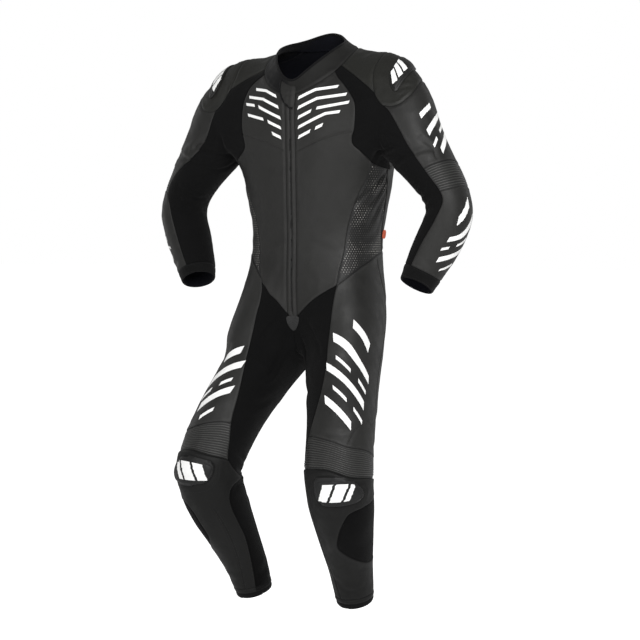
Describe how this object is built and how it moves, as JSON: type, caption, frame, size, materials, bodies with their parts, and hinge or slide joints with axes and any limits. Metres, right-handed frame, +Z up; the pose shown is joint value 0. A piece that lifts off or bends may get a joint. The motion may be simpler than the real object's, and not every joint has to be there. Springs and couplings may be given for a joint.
{
  "type": "motorcycle race suit",
  "caption": "One-piece leather motorcycle race suit standing empty in its worn shape, with stretch panels, accordion ribs, hard shoulder caps and knee sliders.",
  "frame": {"origin": "centre of the neck base, where the wearer's neck goes into the suit", "axes": "+Z up, -Y the wearer's front, +X the wearer's left"},
  "size_m": [0.8458, 0.4295, 1.3745],
  "materials": {
    "leather": "satin grained cowhide, charcoal black",
    "perforated_leather": "matte leather with small punched holes",
    "ribbed_leather": "satin leather in narrow accordion ribs",
    "stretch_cloth": "matte heavy woven stretch cloth, black",
    "trim_cloth": "matte elastic band, black",
    "neoprene": "soft matte neoprene",
    "grey_cloth": "matte woven patch",
    "webbing": "matte woven tape, orange red",
    "cap_plastic": "satin moulded plastic",
    "slider_plastic": "matte moulded plastic",
    "white_print": "white leather applique and print",
    "thread": "sewing thread",
    "lining": "blue-black mesh lining",
    "zip_metal": "black coated metal teeth"
  },
  "bodies": {
    "root": {"back": "leather", "calf_l": "stretch_cloth", "calf_r": "stretch_cloth", "collar": "neoprene", "cuff_l": "trim_cloth", "cuff_r": "trim_cloth", "cup_l": "leather", "cup_r": "leather", "elbow_rib_l": "ribbed_leather", "elbow_rib_r": "ribbed_leather", "forearm_l": "leather", "forearm_r": "leather", "front_l": "leather", "front_r": "leather", "groin_l": "stretch_cloth", "groin_r": "stretch_cloth", "gusset": "grey_cloth", "hem_l": "trim_cloth", "hem_r": "trim_cloth", "knee_rib_l": "ribbed_leather", "knee_rib_r": "ribbed_leather", "knee_slider_l": "slider_plastic", "knee_slider_r": "slider_plastic", "seat": "leather", "shin_l": "leather", "shin_r": "leather", "shoulder_cap_l": "cap_plastic", "shoulder_cap_r": "cap_plastic", "side_l": "perforated_leather", "side_r": "perforated_leather", "side_tab": "webbing", "sleeve_l": "leather", "sleeve_r": "leather", "stretch_l": "stretch_cloth", "stretch_r": "stretch_cloth", "thigh_back_l": "leather", "thigh_back_r": "leather", "thigh_l": "leather", "thigh_r": "leather", "yoke_l": "leather", "yoke_r": "leather", "zip": "leather", "zip_flap": "neoprene"}
  },
  "joints": []
}
